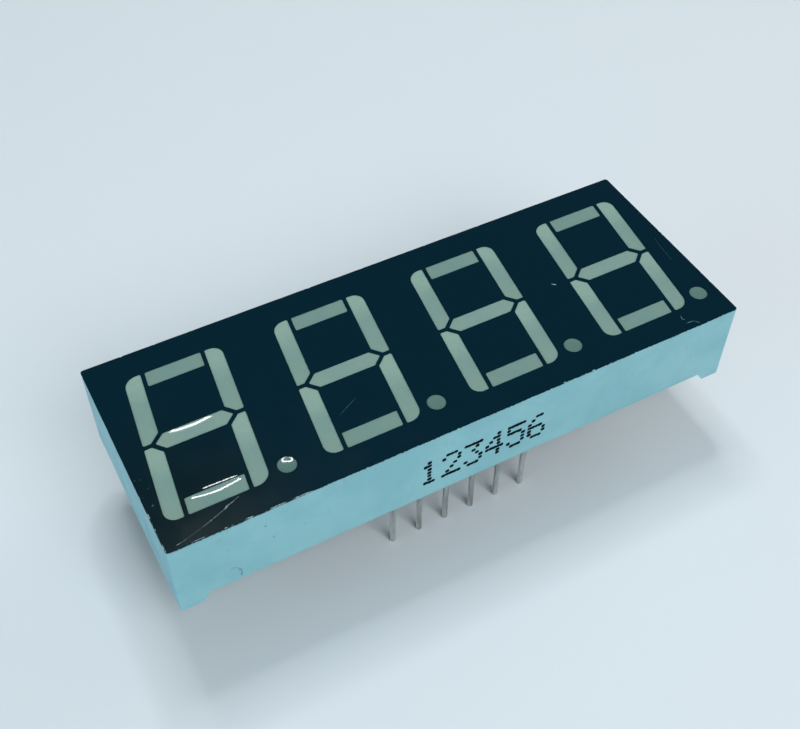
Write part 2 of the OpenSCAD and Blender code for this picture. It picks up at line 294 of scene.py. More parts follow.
class Shader(NodeTree):
    """A material with one Principled shader. Its Object coordinates are metres in the frame."""

    def __init__(self, name: str) -> None:
        """Starts the material.

        Args:
            name: Name of the material.
        """
        self.material = bpy.data.materials.new(name)
        super().__init__(self.material)
        self.shader = self.node("BsdfPrincipled", {})
        self.out = self.node("OutputMaterial", {"Surface": self.shader.outputs["BSDF"]})
        places = self.node("TexCoord", {}).outputs
        self.place = places["Object"]
        self.surface_place = places["UV"]

    def set(self, **values: Value) -> None:
        """Fills sockets of the Principled shader, whose names are given with _ for a space."""
        self.fill(self.shader, {name.replace("_", " "): value for name, value in values.items()})

    def distance(self, centre: Triple = (0.0, 0.0, 0.0)) -> Socket:
        """Gives the distance in metres from a centre in millimetres."""
        offset = self.node("VectorMath", {0: self.place, 1: Vector(centre) * MM}, operation="SUBTRACT")
        return self.node("VectorMath", {0: offset.outputs[0]}, operation="LENGTH").outputs["Value"]

    def stretched(self, scale: Triple) -> Socket:
        """Gives the Object coordinates times a scale on each axis."""
        return self.node("VectorMath", {0: self.place, 1: scale}, operation="MULTIPLY").outputs[0]

    def noise(
        self, size: float, detail: float = 3.0, rough: float = 0.5, place: Socket | None = None
    ) -> Socket:
        """Makes noise of 0 to 1.

        Args:
            size: About how wide its features are, in millimetres.
            detail: How many finer layers it has.
            rough: How strong each finer layer is.
            place: Coordinates to use in place of the Object coordinates.

        Returns:
            The noise.
        """
        scale = 1.0 / (size * MM)
        inputs = {"Vector": place or self.place, "Scale": scale, "Detail": detail, "Roughness": rough}
        return self.node("TexNoise", inputs).outputs["Fac"]

    def uneven(self, size: float, detail: float, low: float, high: float) -> Socket:
        """Gives a value that goes from low to high in patches about size millimetres wide."""
        return self.between(self.noise(size, detail), *NOISE_RANGE, low, high)

    def specks(self, spacing: float, radius: float, share: float, strength: float) -> Socket:
        """Scatters round specks: cells that share picks by their random colour show a disc at their middle.

        Args:
            spacing: Width of a cell in millimetres.
            radius: Radius of a speck in millimetres.
            share: Share of the cells that hold one.
            strength: Value on a speck.

        Returns:
            The strength on a speck and 0 elsewhere, with a soft edge.
        """
        cells = self.node("TexVoronoi", {"Vector": self.place, "Scale": 1.0 / (spacing * MM)}).outputs
        disc = self.between(cells["Distance"], radius / spacing, 0.5 * radius / spacing)
        chance = self.node("SeparateColor", {0: cells["Color"]}).outputs[0]
        specks = self.math("MULTIPLY", disc, self.math("GREATER_THAN", chance, 1.0 - share))
        return self.math("MULTIPLY", specks, strength)

    def mix(self, share: Socket | float, first: Socket | Colour, second: Socket | Colour) -> Socket:
        """Mixes two colours."""
        return self.node("Mix", {"Factor": share, 6: first, 7: second}, data_type="RGBA").outputs[2]

    def bump(self, height: Socket, depth: float) -> Socket:
        """Raises a surface by up to depth millimetres where height is 1."""
        inputs = {"Strength": 1.0, "Distance": depth * MM, "Height": height}
        return self.node("Bump", inputs).outputs["Normal"]


# ---------- finishes ----------


@dataclass(frozen=True)
class MouldedPlastic:
    """Satin white plastic of the housing: a cool tint of painted blue bounce light, faint flow marks,
    handling dirt and fine grain.
    """

    name: str = "moulded_plastic"
    # The cool cyan of these colours is painted blue bounce light; the plastic itself is white.
    clean: Colour = tone(132, 185, 193)
    flow: Colour = tone(123, 177, 186)
    dirt: Colour = tone(84, 130, 140)
    flow_size: float = 5.0
    stain_size: float = 0.9
    grain_size: float = 0.12
    grain_depth: float = 0.003
    gloss: float = 0.3

    def material(self) -> bpy.types.Material:
        """Makes the material.

        Returns:
            The new material.
        """
        s = Shader(self.name)
        flow = s.between(s.noise(self.flow_size, 4.0, 0.55), 0.35, 0.65)
        stain = s.between(s.noise(self.stain_size, 5.0, 0.6), 0.6, 0.78, 0.0, 0.3)
        stained = s.mix(stain, s.mix(flow, self.clean, self.flow), self.dirt)
        s.set(
            Base_Color=s.mix(s.specks(1.3, 0.05, 0.12, 0.55), stained, self.dirt),
            Roughness=s.uneven(1.5, 5.0, 0.36, 0.5),
            Normal=s.bump(s.noise(self.grain_size, 2.0), self.grain_depth),
            Specular_IOR_Level=self.gloss,
        )
        return s.material


@dataclass(frozen=True)
class FaceInk:
    """Satin black print with a navy cast, a paler handled corner, fine dust and an even, pebbled surface."""

    name: str = "face_ink"
    ink: Colour = tone(5, 31, 42)
    handled: Colour = tone(9, 26, 29)
    dust: Colour = tone(104, 122, 124)
    handled_corner: Triple = (-24.5, -9.0, 8.0)
    handled_reach: Pair = (2.0, 14.0)
    pebble_size: float = 0.25
    pebble_depth: float = 0.0004
    gloss: float = 0.06

    def material(self) -> bpy.types.Material:
        """Makes the material.

        Returns:
            The new material.
        """
        s = Shader(self.name)
        near, far = (reach * MM for reach in self.handled_reach)
        touched = s.between(s.distance(self.handled_corner), near, far, 1.0, 0.0)
        patchy = s.math("MULTIPLY", touched, s.between(s.noise(3.0, 5.0), 0.2, 0.7, 0.55, 1.0))
        base = s.mix(patchy, self.ink, self.handled)
        s.set(
            Base_Color=s.mix(s.specks(2.2, 0.045, 0.1, 0.6), base, self.dust),
            Roughness=s.uneven(2.5, 4.0, 0.09, 0.13),
            Normal=s.bump(s.noise(self.pebble_size, 2.0), self.pebble_depth),
            Specular_IOR_Level=self.gloss,
        )
        return s.material


@dataclass(frozen=True)
class RunInk:
    """The face's ink that has run over the edge. It thins out, so the wall shows through its lower end."""

    name: str = "run_ink"
    ink: Colour = tone(6, 32, 43)
    thinning: Pair = (0.35, 1.0)
    unevenness: float = 0.5
    gloss: float = 0.06

    def material(self) -> bpy.types.Material:
        """Makes the material.

        Returns:
            The new material.
        """
        s = Shader(self.name)
        _, down, _ = s.parts(s.surface_place)
        uneven = s.math("MULTIPLY", s.math("SUBTRACT", s.noise(0.16), 0.5), self.unevenness)
        s.set(
            Base_Color=self.ink,
            Roughness=s.uneven(0.4, 3.0, 0.3, 0.45),
            Alpha=s.between(s.math("ADD", down, uneven), *self.thinning, 1.0, 0.0),
            Normal=s.bump(s.noise(0.12, 2.0), 0.001),
            Specular_IOR_Level=self.gloss,
        )
        return s.material


@dataclass(frozen=True)
class MilkyResin:
    """Glossy milky resin of the light plugs: a grey-green tone, cooler in the middle, where the well is deep.

    One end of a plug may be lighter, where its well's wall leans most towards the light. Its long sides are
    darker, a painted shade at the window's rim.
    """

    name: str
    deep: Colour
    shallow: Colour
    lit: Colour
    # edge: painted shade at the window's rim, and also the tone of the random mottle
    edge: Colour
    ripple_size: float = 1.4
    ripple_depth: float = 0.0003
    refraction: float = 1.4

    def material(self) -> bpy.types.Material:
        """Makes the material.

        Returns:
            The new material.
        """
        s = Shader(self.name)
        along, across, _ = s.parts(s.surface_place)
        cloud = s.math("MULTIPLY", s.math("SUBTRACT", s.noise(2.2, 4.0), 0.5), 0.35)
        from_middle, from_axis = (s.math("ABSOLUTE", s.math("SUBTRACT", way, 0.5)) for way in (along, across))
        body = s.mix(s.between(s.math("ADD", from_middle, cloud), 0.08, 0.4), self.deep, self.shallow)
        lit = s.mix(s.between(s.math("ADD", along, cloud), 0.45, 0.88), body, self.lit)
        # Painted shade: darker towards the plug's long sides, at the window's rim.
        rim = s.mix(s.between(from_axis, 0.4, 0.5, 0.0, 0.4), lit, self.edge)
        s.set(
            Base_Color=s.mix(s.uneven(0.3, 3.0, 0.0, 0.12), rim, self.edge),
            Roughness=s.uneven(0.9, 4.0, 0.03, 0.06),
            Normal=s.bump(s.noise(self.ripple_size, 2.0), self.ripple_depth),
            IOR=self.refraction,
        )
        return s.material


@dataclass(frozen=True)
class PottingResin:
    """Clear resin behind the board, slightly green, with a few small bubbles."""

    name: str = "potting_resin"
    tint: Colour = tone(214, 226, 208)
    bubble: Colour = tone(236, 240, 234)
    ripple_size: float = 2.5
    ripple_depth: float = 0.012
    refraction: float = 1.5
    clearness: float = 0.93

    def material(self) -> bpy.types.Material:
        """Makes the material.

        Returns:
            The new material.
        """
        s = Shader(self.name)
        s.set(
            Base_Color=s.mix(s.specks(1.6, 0.07, 0.16, 0.7), self.tint, self.bubble),
            Roughness=s.uneven(2.0, 4.0, 0.05, 0.12),
            Normal=s.bump(s.noise(self.ripple_size, 2.0), self.ripple_depth),
            IOR=self.refraction,
            Transmission_Weight=self.clearness,
        )
        return s.material


@dataclass(frozen=True)
class Laminate:
    """Glass-fibre board with a woven grain that shows through its lacquer."""

    name: str = "board_laminate"
    lacquer: Colour = tone(52, 92, 58)
    weave: Colour = tone(80, 120, 76)
    weave_size: float = 0.5
    weave_depth: float = 0.004

    def material(self) -> bpy.types.Material:
        """Makes the material: the weave is the product of a sine along X and a sine along Y.

        Returns:
            The new material.
        """
        s = Shader(self.name)
        wave = TURN / (self.weave_size * MM)
        sines = [s.math("SINE", s.math("MULTIPLY", way, wave)) for way in s.parts(s.place)[:2]]
        threads = s.between(s.math("MULTIPLY", *sines), -1.0, 1.0)
        s.set(
            Base_Color=s.mix(s.math("MULTIPLY", threads, 0.6), self.lacquer, self.weave),
            Roughness=s.uneven(1.0, 3.0, 0.3, 0.45),
            Normal=s.bump(threads, self.weave_depth),
        )
        return s.material


@dataclass(frozen=True)
class Metal:
    """A bare metal with patches of dull tarnish, and marks drawn along one axis."""

    name: str
    bright: Colour
    dull: Colour
    smooth: float
    rough: float
    patch_size: float = 0.6
    mark_depth: float = 0.002
    stretch: Triple = (1.0, 1.0, 1.0)

    def material(self) -> bpy.types.Material:
        """Makes the material.

        Returns:
            The new material.
        """
        s = Shader(self.name)
        place = s.stretched(self.stretch)
        patch = s.noise(self.patch_size, 4.0, 0.6, place)
        s.set(
            Base_Color=s.mix(s.between(patch, *PATCH_RANGE), self.bright, self.dull),
            Roughness=s.between(patch, *NOISE_RANGE, self.smooth, self.rough),
            Normal=s.bump(s.noise(0.25 * self.patch_size, 2.0, 0.5, place), self.mark_depth),
            Metallic=1.0,
        )
        return s.material


@dataclass(frozen=True)
class Mark:
    """A stain, print or scuff: one colour whose strength comes and goes a little."""

    name: str
    strong: Colour
    weak: Colour
    roughness: float
    patch_size: float = 0.3
    gloss: float = 0.15

    def material(self) -> bpy.types.Material:
        """Makes the material.

        Returns:
            The new material.
        """
        s = Shader(self.name)
        patch = s.noise(self.patch_size)
        s.set(
            Base_Color=s.mix(s.between(patch, *PATCH_RANGE), self.strong, self.weak),
            Roughness=s.between(patch, *NOISE_RANGE, self.roughness, self.roughness + 0.1),
            Normal=s.bump(patch, 0.001),
            Specular_IOR_Level=self.gloss,
        )
        return s.material


class Finish(Enum):
    """The finishes of the module, each named for what it covers."""

    HOUSING = MouldedPlastic()
    FACE = FaceInk()
    RUN = RunInk()
    # Lit and shaded copies of one resin: the level segments and the dots are painted darker than the
    # uprights, as painted shade in their wells, and the uprights' lighter end is a painted pool of light.
    UPRIGHT_RESIN = MilkyResin("upright_resin", tone(112, 140, 134), tone(115, 141, 132),
                               tone(127, 154, 144), tone(94, 119, 112))
    MIDDLE_RESIN = MilkyResin("middle_resin", tone(115, 142, 137), tone(119, 144, 135),
                              tone(118, 144, 136), tone(96, 121, 114))
    LEVEL_RESIN = MilkyResin("level_resin", tone(105, 134, 129), tone(108, 134, 126),
                             tone(109, 136, 129), tone(88, 114, 107))
    DOT_RESIN = MilkyResin("dot_resin", tone(84, 112, 107), tone(82, 110, 103),
                           tone(88, 116, 109), tone(70, 95, 90))
    FILM = MilkyResin("resin_film", tone(8, 38, 46), tone(12, 44, 50), tone(10, 42, 50), tone(6, 34, 42))
    POTTING = PottingResin()
    BOARD = Laminate()
    COPPER = Metal("board_copper", tone(214, 150, 102), tone(160, 104, 74), 0.25, 0.45)
    SOLDER = Metal("solder", tone(206, 207, 208), tone(150, 152, 154), 0.18, 0.4)
    TIN = Metal("pin_tin", tone(214, 216, 214), tone(158, 160, 156), 0.24, 0.46, 0.5, 0.004, (1.0, 1.0, 0.12))
    CHIP = Metal("chip_crystal", tone(214, 176, 96), tone(150, 108, 52), 0.2, 0.4, 0.1)
    WIRE = Metal("bond_wire", tone(238, 206, 130), tone(210, 170, 90), 0.2, 0.3, 0.05)
    PRINT = Mark("number_print", tone(0, 10, 18), tone(3, 22, 32), 0.6, 0.3, 0.03)
    SCUFF = Mark("ink_scuff", tone(132, 150, 152), tone(50, 70, 76), 0.4, 0.25)
    FAINT = Mark("faint_scratch", tone(30, 60, 70), tone(8, 38, 50), 0.3)
    FIBRE = Mark("fibre", tone(110, 142, 148), tone(36, 66, 76), 0.5, 0.4)
    # Bare plastic, painted lighter than the housing: partly real chips, partly a painted glint on the chipped
    # edge.
    BARE_AND_GLINT = Mark("bare_plastic_and_glint", tone(170, 196, 200), tone(70, 104, 114), 0.4, 0.16)
    # The smears' cyan, like the housing's, is painted blue bounce light.
    SMUDGE = Mark("wall_smudge", tone(84, 130, 140), tone(114, 166, 175), 0.5)

    @cache
    def material(self) -> bpy.types.Material:
        """Gives the finish's material, which is made when it is first asked for."""
        return self.value.material()


# ---------- meshes and pieces ----------


def ring_edges(count: int) -> np.ndarray:
    """Lists the edges of a closed loop of points: each point's number and the next one's."""
    return np.column_stack([np.arange(count), np.roll(np.arange(count), -1)])


def band_quads(rows: int, columns: int, closed_rows: bool = False, closed_columns: bool = True) -> np.ndarray:
    """Lists the quads of a grid of points that is stored row by row.

    Args:
        rows: Number of rows.
        columns: Number of columns.
        closed_rows: Whether the last row meets the first.
        closed_columns: Whether the last column meets the first.

    Returns:
        Four point numbers for each quad.
    """
    row = np.arange(rows if closed_rows else rows - 1)[:, None]
    column = np.arange(columns if closed_columns else columns - 1)[None, :]
    next_row = (row + 1) % rows
    next_column = (column + 1) % columns
    corners = [row * columns + column, row * columns + next_column,
               next_row * columns + next_column, next_row * columns + column]
    return np.stack([np.broadcast_to(c, (row.size, column.size)) for c in corners], axis=-1).reshape(-1, 4)


def joined(meshes: list[Surface]) -> Surface:
    """Puts several meshes into one.

    Args:
        meshes: Points and faces of each mesh.

    Returns:
        All the points, and all the faces with their numbers moved on.
    """
    sizes = np.array([len(points) for points, _ in meshes])
    firsts = np.cumsum(sizes) - sizes
    return (np.vstack([points for points, _ in meshes]),
            np.vstack([faces + first for (_, faces), first in zip(meshes, firsts)]))


def placed(name: str, data: bpy.types.Mesh | bpy.types.Camera | bpy.types.Light) -> bpy.types.Object:
    """Makes an object and links it to the scene.

    Args:
        name: Name of the object.
        data: What it shows.

    Returns:
        The new object, at the origin.
    """
    thing = bpy.data.objects.new(name, data)
    bpy.context.scene.collection.objects.link(thing)
    return thing


def make_piece(
    name: str,
    points: np.ndarray,
    faces: list[list[int]],
    finish: Finish,
    uv: np.ndarray | None = None,
) -> bpy.types.Object:
    """Makes a closed piece that rides on the body, from points in millimetres.

    Args:
        name: Name of the piece.
        points: Points in the frame, one row each.
        faces: Point numbers of each face.
        finish: Finish of the piece.
        uv: Two values for each point, kept as the piece's UV map.

    Returns:
        The new piece.
    """
    mesh = bpy.data.meshes.new(name)
    mesh.from_pydata((points * MM).tolist(), [], faces)
    if uv is not None:
        corner_points = np.empty(len(mesh.loops), np.int32)
        mesh.loops.foreach_get("vertex_index", corner_points)
        layer = mesh.uv_layers.new(name="UVMap")
        layer.data.foreach_set("uv", uv[corner_points].astype(np.float32).ravel())
    work = bmesh.new()
    work.from_mesh(mesh)
    bmesh.ops.remove_doubles(work, verts=work.verts, dist=WELD_METRES)
    bmesh.ops.recalc_face_normals(work, faces=work.faces)
    work.to_mesh(mesh)
    work.free()
    mesh.shade_smooth()
    mesh.set_sharp_from_angle(angle=math.radians(CREASE_DEGREES))
    mesh.materials.append(finish.material())
    piece = placed(name, mesh)
    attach(piece, BODY)
    return piece


def dressed_node(node: str, finish: Finish) -> bpy.types.Object:
    """Gives a CAD node its finish.

    Args:
        node: Name of the node.
        finish: Its finish.

    Returns:
        The node's object.
    """
    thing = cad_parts[node]
    thing.data.materials.clear()
    thing.data.materials.append(finish.material())
    return thing


# ---------- strokes on a surface ----------


def curve_through(knots: np.ndarray, step: float) -> np.ndarray:
    """Draws a smooth path through knots, as a Catmull-Rom spline.

    Args:
        knots: The points that it passes, one row each.
        step: About how far apart the path's points are.

    Returns:
        The path's points.
    """
    padded = np.vstack([2 * knots[0] - knots[1], knots, 2 * knots[-1] - knots[-2]])
    length = np.linalg.norm(np.diff(knots, axis=0), axis=1).sum()
    count = max(4, int(length / step))
    place = np.linspace(0.0, len(knots) - 1.0, count)
    span = np.minimum(place.astype(int), len(knots) - 2)
    t = (place - span)[:, None]
    p0, p1, p2, p3 = (padded[span + k] for k in range(4))
    return 0.5 * (2 * p1 + (p2 - p0) * t + (2 * p0 - 5 * p1 + 4 * p2 - p3) * t**2
                  + (3 * p1 - p0 - 3 * p2 + p3) * t**3)


@dataclass(frozen=True)
class Wall:
    """A flat surface that strokes and dots lie on: a corner, its two directions and the way out of it."""

    corner: Triple
    right: Triple
    up: Triple
    out: Triple

    def points(self, plan: np.ndarray, height: float | np.ndarray) -> np.ndarray:
        """Puts plan points on the wall: corner + x times right + y times up + height times out."""
        flat = plan[:, :1] * np.array(self.right) + plan[:, 1:2] * np.array(self.up)
        return np.array(self.corner) + flat + np.outer(np.broadcast_to(height, len(plan)), self.out)


@dataclass(frozen=True)
class Stroke:
    """A scratch, hair, smear or film: knots on a wall, its width, how uneven it is, how its top leans.

    Its width starts at a share of the full one and grows at the taper's rate times the share of its
    length. Between its ends it swells by wandering noise.
    """

    knots: tuple[Pair, ...]
    width: float
    unevenness: float = 0.4
    seed: int = 1
    lean: float = 0.0
    step: float = 0.06
    taper_rate: float = 6.0
    end_share: float = 0.12
    swell: float = 1.4
    swell_waves: Pair = (0.03, 0.4)
    swell_limits: Pair = (0.15, 2.0)

    def widths(self, count: int) -> np.ndarray:
        """Works out the width along the stroke, which tapers to both ends and swells and thins between them.

        Args:
            count: Number of evenly spaced places.

        Returns:
            The width at each place.
        """
        share = np.linspace(0.0, 1.0, count)
        taper = np.clip(np.minimum(share, 1.0 - share) * self.taper_rate, self.end_share, 1.0)
        swell = 1.0 + self.swell * self.unevenness * wandering(share, 1.0, self.swell_waves, self.seed)
        return self.width * taper * np.clip(swell, *self.swell_limits)

    def mesh(self, wall: Wall, thickness: float) -> Surface:
        """Carries a flat four-cornered profile along the stroke's path.

        At each path point the profile's corners lie half a width to either side, on the wall and one
        thickness above it. The upper left corner is higher by the lean times the width.

        Args:
            wall: The surface that the stroke lies on.
            thickness: Height of the stroke above the wall.

        Returns:
            The stroke's points, and its quads with the two end caps.
        """
        path = curve_through(np.array(self.knots), self.step)
        count = len(path)
        widths = self.widths(count)
        ahead = np.gradient(path, axis=0)
        normal = np.column_stack([-ahead[:, 1], ahead[:, 0]])
        normal /= np.linalg.norm(normal, axis=1, keepdims=True)
        aside = normal * widths[:, None] / 2.0
        rows = [wall.points(path + aside, 0.0), wall.points(path + aside, thickness + self.lean * widths),
                wall.points(path - aside, thickness), wall.points(path - aside, 0.0)]
        ring = np.arange(4) * count
        caps = np.array([ring, (ring + count - 1)[::-1]])
        return np.vstack(rows), np.vstack([band_quads(4, count, True, False), caps])


# ---------- the printed face ----------


@dataclass
class FacePrint:
    """The black print on the face: a thin sheet with a window for each plug, and ink run over its edge.

    It carries scratches, faint scratches, hairs, flecks of bare plastic along its edge that are partly a
    painted glint, and a film of resin that has crept out of a window. Where the wear is 1, ink runs down by
    the bleed, and where it is -1, the edge is rubbed in by the chip. A nick takes its depth times the nick
    gap off the wear.
    """

    windows: list[np.ndarray]
    corner_radius: float = 0.25
    edge_step: float = 0.03
    shine: float = 0.003
    fine_waves: Pair = (0.09, 0.6)
    slow_waves: Pair = (1.5, 14.0)
    fine_wear: float = 0.55
    slow_wear: float = 0.35
    mean_wear: float = 0.1
    spared_share: float = 0.45
    side_band: float = 0.2
    near_half: float = 1.0
    run_length: float = 13.0
    run_slope: float = 1.5
    run_wear: float = 1.1
    bleed: float = 0.12
    longest_bleed: float = 1.8
    nick_gap: float = 8.0
    backing: float = 0.02
    hidden_depth: float = 0.012
    full_drip: float = 0.01
    least_drip: float = 0.002
    chip: float = 0.04
    longest_chip: float = 1.5
    nick_count: int = 150
    nick_half_length: Pair = (0.03, 0.16)
    nick_depth: Pair = (0.01, 0.06)
    lowest_mark: float = 0.6
    scratches: tuple[Stroke, ...] = (
        Stroke(((-18.8, -7.38), (-19.4, -7.62), (-19.9, -7.8)), 0.035, 0.6, 3),
        Stroke(((-19.72, -7.68), (-20.0, -7.86), (-20.32, -8.01)), 0.09, 0.8, 4),
        Stroke(((-19.95, -7.7), (-20.12, -7.99)), 0.07, 0.5, 24),
        Stroke(((-20.15, -7.93), (-21.15, -8.31), (-22.3, -8.68)), 0.035, 0.8, 25),
        Stroke(((-23.45, -9.02), (-23.98, -9.14), (-24.45, -9.2)), 0.028, 0.8, 26),
    )
    faint_scratches: tuple[Stroke, ...] = (
        Stroke(((-7.21, -3.16), (-8.12, -3.59), (-9.06, -4.09)), 0.05, 0.5, 5),
        Stroke(((24.35, 0.9), (24.14, -0.25), (24.06, -1.36), (24.0, -2.2)), 0.045, 0.7, 28),
        Stroke(((-22.1, -8.62), (-22.9, -8.86), (-23.6, -9.05)), 0.06, 0.7, 29),
        Stroke(((-24.5, -5.22), (-24.72, -5.3)), 0.07, 0.5, 30),
        Stroke(((-24.12, -3.5), (-24.3, -3.56)), 0.06, 0.5, 36),
        Stroke(((-24.6, -2.62), (-24.74, -2.74)), 0.06, 0.5, 37),
        Stroke(((-24.36, -3.64), (-24.52, -3.74)), 0.05, 0.5, 40),
        Stroke(((-24.94, -4.25), (-25.04, -4.42)), 0.06, 0.5, 41),
        Stroke(((-25.0, -2.5), (-25.06, -2.66)), 0.06, 0.5, 42),
    )
    # Bare plastic along the edge, partly a painted glint.
    flecks: tuple[Stroke, ...] = (
        Stroke(((-19.2, -9.475), (-18.9, -9.46), (-18.6, -9.475)), 0.075, 0.8, 8),
        Stroke(((-17.35, -9.47), (-16.9, -9.46), (-16.5, -9.47), (-16.0, -9.465)), 0.055, 0.9, 9),
        Stroke(((-15.5, -9.47), (-14.6, -9.465), (-13.9, -9.47)), 0.04, 0.8, 18),
        Stroke(((-20.85, -9.475), (-20.6, -9.475)), 0.03, 0.8, 10),
        Stroke(((-23.3, -9.47), (-22.8, -9.465), (-22.2, -9.47)), 0.022, 0.9, 11),
        Stroke(((-25.2, -5.7), (-25.21, -6.0), (-25.2, -6.3)), 0.055, 0.8, 15),
        Stroke(((-25.2, -6.6), (-25.2, -6.78)), 0.05, 0.6, 13),
        Stroke(((-25.21, -7.2), (-25.2, -7.36)), 0.035, 0.6, 43),
        Stroke(((-25.2, -7.62), (-25.21, -7.86)), 0.05, 0.8, 16),
        Stroke(((-25.2, -8.66), (-25.21, -9.0), (-25.19, -9.34)), 0.05, 0.9, 17),
        Stroke(((7.9, -9.46), (8.15, -9.47)), 0.07, 0.5, 19),
        Stroke(((10.6, -9.46), (10.9, -9.465)), 0.06, 0.5, 20),
        Stroke(((13.12, 0.25), (13.22, 0.15), (13.45, -0.03)), 0.085, 0.3, 7),
    )
    films: tuple[Stroke, ...] = (
        Stroke(((-20.95, -5.57), (-20.7, -5.55), (-19.74, -5.58), (-18.64, -5.61), (-18.2, -5.66)),
               0.085, 0.35, 39, 0.18),
    )
    hairs: tuple[Stroke, ...] = (
        Stroke(((20.57, -7.85), (20.43, -8.21), (20.58, -8.42)), 0.05, 0.3, 6),
        Stroke(((20.44, -8.83), (20.8, -8.84), (21.16, -8.93), (21.47, -9.3)), 0.055, 0.3, 12),
    )

    def __post_init__(self) -> None:
        """Reads the face's heights and half sizes from the frame, and draws its outline."""
        low, high = cad_box("face_mask")
        self.bottom, self.top = low[2], high[2]
        self.half = (high[:2] - low[:2]) / 2.0
        self.outline = rounded_rectangle(self.half, self.corner_radius, self.edge_step)
        self.along, self.around = distance_along(self.outline)

    def worn_sides(self) -> np.ndarray:
        """Tells how worn each side is.

        Returns:
            1 at outline points of the front side and of the left side's near half, less elsewhere.
        """
        front = self.outline[:, 1] < self.side_band - self.half[1]
        left = (self.outline[:, 0] < self.side_band - self.half[0]) & (self.outline[:, 1] < self.near_half)
        return np.where(front | left, 1.0, self.spared_share)

    def wear(self) -> np.ndarray:
        """Works out how the edge is worn: over 0 the ink runs over it, under 0 it is rubbed.

        Fine and slow noise are added, most of all on the worn sides. Near the front left corner the ink
        runs over the edge everywhere.

        Returns:
            The wear at each outline point.
        """
        fine = wandering(self.along, self.around, self.fine_waves, 11)
        slow = wandering(self.along, self.around, self.slow_waves, 12)
        from_corner = np.linalg.norm(self.outline + self.half, axis=1)
        run = self.run_wear * np.clip(self.run_slope * (1.0 - from_corner / self.run_length), 0.0, 1.0)
        return (self.fine_wear * fine + self.slow_wear * slow) * self.worn_sides() + self.mean_wear + run

    def nicks(self) -> np.ndarray:
        """Works out how deep the edge is nicked: as deep as the deepest of a number of parabolas.

        Each nick has its own place, half length and depth, and the worn sides draw most of them.

        Returns:
            The depth at each outline point.
        """
        rng = np.random.default_rng(13)
        chance = self.worn_sides() ** 2
        middles = self.along[rng.choice(self.along.size, self.nick_count, p=chance / chance.sum())]
        lengths = rng.uniform(*self.nick_half_length, self.nick_count)
        shallow, deep = self.nick_depth
        depths = shallow + (deep - shallow) * rng.random(self.nick_count) ** 2
        gap = np.abs(self.along[:, None] - middles[None, :])
        gap = np.minimum(gap, self.around - gap) / lengths
        return np.max(depths * np.clip(1.0 - gap**2, 0.0, 1.0), axis=1)

    def sheet(self) -> bpy.types.Object:
        """Builds the print as a flat sheet: the area between its worn outline and the windows, in triangles.

        An edge that only one triangle uses is on a rim, where a quad joins it to the sheet's underside.

        Returns:
            The sheet, which replaces the frame's mask.
        """
        inset = self.chip * np.clip(-self.wear(), 0.0, self.longest_chip) + self.nicks() + self.shine
        outer = self.outline - outward_normals(self.outline) * inset[:, None]
        loops, edges = joined([(loop, ring_edges(len(loop))) for loop in (outer, *self.windows)])
        corners = [Vector(point) for point in loops]
        cut = delaunay_2d_cdt(corners, edges.tolist(), [], CUT_INSIDE, CUT_TOLERANCE)
        plan = np.array([tuple(point) for point in cut[0]])
        triangles = np.array(cut[2])
        middles = plan[triangles].mean(axis=1)
        triangles = triangles[~np.any([inside_convex(middles, window) for window in self.windows], axis=0)]
        count = len(plan)
        top = np.column_stack([plan, np.full(count, self.top - self.shine)])
        bottom = np.column_stack([plan, np.full(count, self.bottom)])
        used = np.sort(np.vstack([triangles[:, [0, 1]], triangles[:, [1, 2]], triangles[:, [2, 0]]]), axis=1)
        rims, times = np.unique(used, axis=0, return_counts=True)
        rims = rims[times == 1]
        walls = np.column_stack([rims, rims[:, ::-1] + count])
        faces = [*triangles.tolist(), *(triangles[:, ::-1] + count).tolist(), *walls.tolist()]
        piece = make_piece("face_print", np.vstack([top, bottom]), faces, Finish.FACE)
        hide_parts("face_mask")
        return piece

    def edge_ink(self) -> bpy.types.Object:
        """Builds the ink that has run over the edge: a band round the walls, as deep as the wear is above 0.

        Where no ink has run, the band's skin is hidden in the wall. The second value of its UV map goes
        from 0 at the band's upper edge to 1 at its lower one.

        Returns:
            The band.
        """
        normals = outward_normals(self.outline)
        drip = self.bleed * np.clip(self.wear() - self.nick_gap * self.nicks(), 0.0, self.longest_bleed)
        raised = (self.shine + self.hidden_depth) * np.minimum(drip / self.full_drip, 1.0)[:, None]
        skin = raised - self.hidden_depth
        drip = np.maximum(drip, self.least_drip)
        rows = []
        down = []
        for out, low in ((-self.backing, 0.0), (skin, 0.0), (skin, 1.0), (-self.backing, 1.0)):
            rows.append(np.column_stack([self.outline + out * normals, self.bottom - low * drip]))
            down.append(np.column_stack([self.along / self.around, np.full(len(self.outline), low)]))
        faces = band_quads(4, len(self.outline), closed_rows=True).tolist()
        return make_piece("edge_ink", np.vstack(rows), faces, Finish.RUN, np.vstack(down))

    def marks(self, name: str, strokes: tuple[Stroke, ...], finish: Finish) -> bpy.types.Object:
        """Builds one kind of mark on the print, each stroke a little lower than the one before.

        Args:
            name: Name of the piece.
            strokes: The marks.
            finish: Their finish.

        Returns:
            The marks as one piece.
        """
        wall = Wall((0.0, 0.0, self.top - self.shine), (1.0, 0.0, 0.0), (0.0, 1.0, 0.0), (0.0, 0.0, 1.0))
        heights = np.linspace(1.0, self.lowest_mark, len(strokes)) * self.shine
        points, faces = joined([one.mesh(wall, height) for one, height in zip(strokes, heights)])
        return make_piece(name, points, faces.tolist(), finish)

    def build(self) -> list[bpy.types.Object]:
        """Builds the print and what lies on it.

        Returns:
            The pieces.
        """
        return [
            self.sheet(),
            self.edge_ink(),
            self.marks("face_scratches", self.scratches, Finish.SCUFF),
            self.marks("faint_scratches", self.faint_scratches, Finish.FAINT),
            self.marks("face_hairs", self.hairs, Finish.FIBRE),
            self.marks("edge_flecks", self.flecks, Finish.BARE_AND_GLINT),
            self.marks("resin_film", self.films, Finish.FILM),
        ]


# ---------- light plugs ----------


